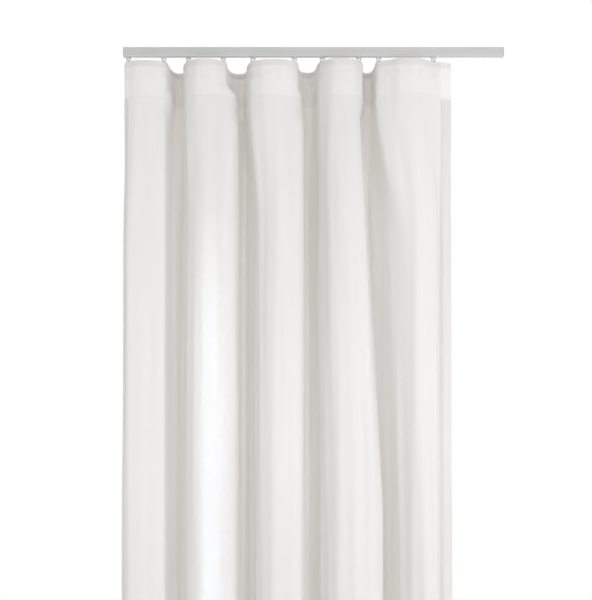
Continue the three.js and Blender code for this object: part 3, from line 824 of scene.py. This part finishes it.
class Look:
    """A material and short ways to add nodes to it. A source is another node's output socket."""

    def __init__(self, name):
        self.material = bpy.data.materials.new(name)
        self.material.use_nodes = True
        self.nodes = self.material.node_tree.nodes
        self.links = self.material.node_tree.links
        self.shader = self.nodes["Principled BSDF"]

    def place(self, kind):
        return self.nodes.new("ShaderNodeTexCoord").outputs[kind]

    def feed(self, socket, value):
        """Links a source to a socket, or sets the socket to a plain value."""
        if isinstance(value, bpy.types.NodeSocket):
            self.links.new(value, socket)
        else:
            socket.default_value = value

    def maths(self, operation, first, second=0):
        node = self.nodes.new("ShaderNodeMath")
        node.operation = operation
        self.feed(node.inputs[0], first)
        self.feed(node.inputs[1], second)
        return node.outputs[0]

    def axes(self, source):
        separate = self.nodes.new("ShaderNodeSeparateXYZ")
        self.links.new(source, separate.inputs["Vector"])
        return separate.outputs

    def noise(self, source, scale, detail=2):
        """Noise over coordinates scaled by a vector."""
        mapping = self.nodes.new("ShaderNodeMapping")
        mapping.inputs["Scale"].default_value = scale
        noise = self.nodes.new("ShaderNodeTexNoise")
        noise.inputs["Scale"].default_value = 1
        noise.inputs["Detail"].default_value = detail
        self.links.new(source, mapping.inputs["Vector"])
        self.links.new(mapping.outputs["Vector"], noise.inputs["Vector"])
        return noise.outputs["Fac"]

    def ramp(self, source, low, low_colour, high, high_colour):
        """One colour up to a low value, another from a high value, and blends between them."""
        node = self.nodes.new("ShaderNodeValToRGB")
        for stop, place, colour in zip(node.color_ramp.elements, (low, high), (low_colour, high_colour)):
            stop.position = place
            stop.color = (*colour, 1)
        self.links.new(source, node.inputs["Fac"])
        return node.outputs["Color"]

    def mixed(self, blend, share, colour, other):
        """A colour mixed with another, or multiplied by it, by a share. The node's own names for its
        colour sockets are shared with those for numbers, so they are found by number."""
        node = self.nodes.new("ShaderNodeMix")
        node.data_type = "RGBA"
        node.blend_type = blend
        self.feed(node.inputs["Factor"], share)
        self.feed(node.inputs[MIX_COLOUR], colour)
        self.feed(node.inputs[MIX_OTHER], other)
        return node.outputs[MIX_RESULT]

    def bump(self, height, strength, distance):
        node = self.nodes.new("ShaderNodeBump")
        node.inputs["Strength"].default_value = strength
        node.inputs["Distance"].default_value = distance
        self.links.new(height, node.inputs["Height"])
        self.links.new(node.outputs["Normal"], self.shader.inputs["Normal"])
        return node.outputs["Normal"]

    def let_light_through(self, share, colour, normal=None):
        through = self.nodes.new("ShaderNodeBsdfTranslucent")
        through.inputs["Color"].default_value = (*colour, 1)
        if normal is not None:
            self.links.new(normal, through.inputs["Normal"])
        mix = self.nodes.new("ShaderNodeMixShader")
        mix.inputs["Fac"].default_value = share
        self.links.new(self.shader.outputs["BSDF"], mix.inputs[1])
        self.links.new(through.outputs["BSDF"], mix.inputs[2])
        self.links.new(mix.outputs["Shader"], self.nodes["Material Output"].inputs["Surface"])


def weave(look, uv, pitch):
    """Height of a plain weave with this pitch in metres: bands both ways."""
    across, down, _ = look.axes(uv)
    turns = [look.maths("MULTIPLY", axis, 2 * math.pi / pitch) for axis in (across, down)]
    return look.maths("MULTIPLY", look.maths("SINE", turns[0]), look.maths("SINE", turns[1]))


def puckers(look, uv, height):
    """The height with small gathers beside each seam and a groove along its stitches."""
    across, down, _ = look.axes(uv)
    level_gathers = look.noise(uv, (170, 12, 1))
    upright_gathers = look.noise(uv, (12, 170, 1))
    seams = [(down, z, level_gathers) for z in (*TAPE_STITCHES, HEM_STITCHES)]
    seams += [(across, x, upright_gathers) for x in (SIDE_STITCHES, PANEL_WIDTH - SIDE_STITCHES)]
    for axis, place, gathers in seams:
        away = look.maths("ABSOLUTE", look.maths("SUBTRACT", axis, place * MM))
        near = look.maths("SUBTRACT", 1, look.maths("DIVIDE", away, PUCKER_REACH))
        near = look.maths("MAXIMUM", near, 0)
        gathered = look.maths("MULTIPLY", near, look.maths("MULTIPLY", gathers, PUCKER_HEIGHT))
        groove = look.maths("LESS_THAN", away, GROOVE_REACH)
        height = look.maths("ADD", height, gathered)
        height = look.maths("SUBTRACT", height, look.maths("MULTIPLY", groove, GROOVE_DEPTH))
    return height


def painted_backing_light(look, uv, colour, painted_light_layers):
    """The colour made paler on this side of an edge, where a second layer lies behind the cloth: painted
    light, standing in for the light that this layer sends back through the cloth. At the heading it also
    evens out the key's weaker light near the top.
    """
    axes = look.axes(uv)
    for axis, edge, side, painted_paling in painted_light_layers:
        inside = look.maths(side, axes[axis], edge * MM)
        colour = look.mixed("MULTIPLY", inside, colour, (painted_paling, painted_paling, painted_paling, 1))
    return colour


def cloth_material(name, dark, light, glow, pitch, see_through, bump, painted_light_layers=()):
    """Woven cloth: two tones of thread, the colour of the light through it, the weave's pitch in metres,
    how much light comes through, how rough it feels and where it lies double, with painted light making its
    colour paler there."""
    look = Look(name)
    uv = look.place("UV")
    # Threads of uneven thickness, long ones down the cloth and shorter, weaker ones across it.
    weft = look.noise(uv, (40, 900, 1))
    warp = look.noise(uv, (900, 6, 1))
    slubs = look.maths("MAXIMUM", look.maths("MULTIPLY", weft, 0.93), warp)
    threads = look.ramp(slubs, 0.42, dark, 0.62, light)
    clouds = look.ramp(look.noise(uv, (5, 2, 1), 4), 0.35, (0.93, 0.925, 0.91), 0.65, (1, 1, 1))
    colour = look.mixed("MULTIPLY", 0.35, threads, clouds)
    height = look.maths("ADD", look.maths("MULTIPLY", weave(look, uv, pitch), 0.35), slubs)
    normal = look.bump(puckers(look, uv, height), bump, 0.0004)
    # Painted light: the base colour is painted paler where a second layer lies behind the cloth.
    look.feed(look.shader.inputs["Base Color"], painted_backing_light(look, uv, colour, painted_light_layers))
    look.shader.inputs["Roughness"].default_value = 0.95
    look.shader.inputs["Specular IOR Level"].default_value = 0.15
    look.shader.inputs["Sheen Weight"].default_value = 0.12
    look.shader.inputs["Sheen Roughness"].default_value = 0.6
    look.let_light_through(see_through, glow, normal)
    return look.material


def linen_material():
    # The heading, the bottom hem and the side hems: axis, edge, side and how much painted light pales the
    # colour there.
    painted_light_layers = [
        ("Y", TAPE_FOOT, "GREATER_THAN", 1.12),
        ("Y", HEM_TOP, "LESS_THAN", 1.05),
        ("X", SIDE_HEM_WIDTH, "LESS_THAN", 1.06),
        ("X", PANEL_WIDTH - SIDE_HEM_WIDTH, "GREATER_THAN", 1.06),
    ]
    dark, light, glow = (0.69, 0.693, 0.704), (0.725, 0.728, 0.739), (0.84, 0.795, 0.715)
    return cloth_material(
        "linen", dark, light, glow, pitch=0.0009, see_through=0.36, bump=0.5, painted_light_layers=painted_light_layers,
    )


def tape_material():
    dark, light, glow = (0.88, 0.88, 0.87), (0.94, 0.94, 0.935), (0.95, 0.945, 0.925)
    return cloth_material("tape_weave", dark, light, glow, pitch=0.0012, see_through=0.7, bump=0.8)


def pocket_material():
    dark, light, glow = (0.9, 0.9, 0.89), (0.95, 0.95, 0.945), (0.98, 0.98, 0.97)
    return cloth_material("tape_pockets", dark, light, glow, pitch=0.0008, see_through=0.88, bump=0.6)


def metal_material(name, dark, light, scale, metallic, rough, bump, painted_light_below=None):
    """Two grey tones in fine lines or grain, at this scale, with worn patches. Below a height the colour is
    painted paler: painted light on the rail's underside, which lies in shade."""
    look = Look(name)
    place = look.place("Object")
    lines = look.noise(place, scale, 4)
    tones = look.ramp(lines, 0.35, dark, 0.65, light)
    patches = look.ramp(look.noise(place, (6, 40, 40)), 0.35, (0.86,) * 3, 0.65, (1,) * 3)
    colour = look.mixed("MULTIPLY", 0.4, tones, patches)
    if painted_light_below is not None:
        # Painted light: the rail's underside is painted paler than the shade it lies in.
        below = look.maths("LESS_THAN", look.axes(place)["Z"], painted_light_below * MM)
        colour = look.mixed("MIX", below, colour, (0.9, 0.9, 0.9, 1))
    look.feed(look.shader.inputs["Base Color"], colour)
    look.shader.inputs["Metallic"].default_value = metallic
    roughness = look.ramp(lines, 0.3, (rough - 0.06,) * 3, 0.7, (rough + 0.08,) * 3)
    look.feed(look.shader.inputs["Roughness"], roughness)
    look.bump(lines, bump, 0.0001)
    return look.material


def nylon_material():
    look = Look("glider_nylon")
    grain = look.noise(look.place("Object"), (400, 400, 400), 3)
    colour = look.ramp(grain, 0.35, (0.62, 0.62, 0.6), 0.65, (0.72, 0.72, 0.7))
    look.feed(look.shader.inputs["Base Color"], colour)
    look.shader.inputs["Roughness"].default_value = 0.38
    look.bump(grain, 0.25, 0.0001)
    look.let_light_through(0.3, (0.8, 0.8, 0.78))
    return look.material


def floor_material():
    look = Look("floor")
    tone = look.noise(look.place("Object"), (2, 2, 2), 4)
    colour = look.ramp(tone, 0.3, (0.8, 0.8, 0.795), 0.7, (0.84, 0.84, 0.835))
    look.feed(look.shader.inputs["Base Color"], colour)
    look.shader.inputs["Roughness"].default_value = 0.8
    return look.material


# Metals and hard plastic.
HARD_LOOKS = {
    "rail_aluminium": dict(
        dark=(0.45, 0.45, 0.447), light=(0.52, 0.52, 0.517), scale=(3, 2500, 2500),
        metallic=0.35, rough=0.5, bump=0.4, painted_light_below=RAIL_PAINTED_LIGHT_HEIGHT,
    ),
    "stop_zinc": dict(
        dark=(0.42, 0.42, 0.41), light=(0.56, 0.56, 0.55), scale=(900, 900, 900),
        metallic=0.8, rough=0.5, bump=0.8,
    ),
    "screw_steel": dict(
        dark=(0.45, 0.45, 0.45), light=(0.6, 0.6, 0.6), scale=(700, 700, 90),
        metallic=1.0, rough=0.35, bump=0.4,
    ),
    "hook_steel": dict(
        dark=(0.2, 0.2, 0.2), light=(0.34, 0.34, 0.34), scale=(900, 900, 60),
        metallic=1.0, rough=0.32, bump=0.3,
    ),
    "cap_plastic": dict(
        dark=(0.44, 0.44, 0.435), light=(0.5, 0.5, 0.495), scale=(1200, 1200, 1200),
        metallic=0.0, rough=0.6, bump=0.6,
    ),
}
MATERIALS = {name: metal_material(name, **values) for name, values in HARD_LOOKS.items()}
MATERIALS["linen"] = linen_material()
MATERIALS["tape_weave"] = tape_material()
MATERIALS["tape_pockets"] = pocket_material()
MATERIALS["glider_nylon"] = nylon_material()


# ---------------------------------------------------------------- assembly

def dress_cad_nodes():
    """The rail's own nodes are shown as they are, with a material and softened edges."""
    slots = {entry["node"]: entry["material_slot"] for entry in frame["record"]["subparts"]}
    for name, piece in frame["nodes"].items():
        piece.data.materials.clear()
        piece.data.materials.append(MATERIALS[slots[name]])
        if slots[name] in HARD_SLOTS:
            bevel = piece.modifiers.new("soft_edges", "BEVEL")
            bevel.width = EDGE_SOFTENING * MM
            bevel.segments = 2
            bevel.limit_method = "ANGLE"
            bevel.angle_limit = math.radians(SHARP_EDGE)


def hang(piece, slot, look=None):
    """Puts a finished textile piece on the panel, with its material and a mesh of its own."""
    piece.data.materials.append(MATERIALS[look or slot])
    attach(piece, "panel")
    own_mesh(piece)


def build_panel():
    side_columns = round(SIDE_HEM_WIDTH / PANEL_WIDTH * CLOTH_COLUMNS)
    left = slice(0, side_columns + 1)
    right = slice(CLOTH_COLUMNS - side_columns, CLOTH_COLUMNS + 1)
    hang(tape_band(), "tape_weave")
    hang(tape_pockets(), "tape_weave", "tape_pockets")
    hang(cloth_sheet(), "linen")
    hang(bottom_hem(), "linen")
    hang(side_hem("side_hem_band_left", "side_hem_left", left, 0), "linen")
    hang(side_hem("side_hem_band_right", "side_hem_right", right, -1), "linen")
    hang(heading_stitching(), "tape_weave")
    hang(hem_stitching(), "linen")


# ---------------------------------------------------------------- studio

def area_light(name, place, target, size, power, colour, spread):
    """A soft lamp at a place, turned to a target."""
    data = bpy.data.lights.new(name, "AREA")
    data.shape = "RECTANGLE"
    data.size, data.size_y = size
    data.energy = power
    data.color = colour
    data.spread = math.radians(spread)
    light = bpy.data.objects.new(name, data)
    light.location = place
    light.rotation_euler = (Vector(target) - Vector(place)).to_track_quat("-Z", "Y").to_euler()
    scene.collection.objects.link(light)


def build_lights():
    world = bpy.data.worlds.new("studio")
    scene.world = world
    world.use_nodes = True
    background = world.node_tree.nodes["Background"]
    background.inputs["Color"].default_value = (1, 1, 1, 1)
    background.inputs["Strength"].default_value = 1.0
    scene.view_settings.view_transform = "Standard"
    area_light("key", **KEY)
    area_light("fill", **FILL)
    for top, foot in GLOW_SPANS:
        middle, tall = (top + foot) / 2, top - foot
        place, target = (GLOW_X, GLOW_Y, middle), (GLOW_X, 0, middle)
        power = GLOW_POWER * tall
        area_light("glow", place, target, (GLOW_WIDTH, tall), power, GLOW_COLOUR, GLOW_SPREAD)


def build_floor():
    bm = bmesh.new()
    bmesh.ops.create_grid(bm, x_segments=FLOOR_CELLS, y_segments=FLOOR_CELLS, size=FLOOR_HALF_SIZE)
    floor = finished("floor", bm)
    floor.location = (*FLOOR_MIDDLE, (HEM_FOOT - FLOOR_GAP) * MM)
    floor.data.materials.append(floor_material())


dress_cad_nodes()
for number in range(len(GLIDER_PLACES)):
    glider(number)
    hook(number)
build_panel()
build_lights()
build_floor()
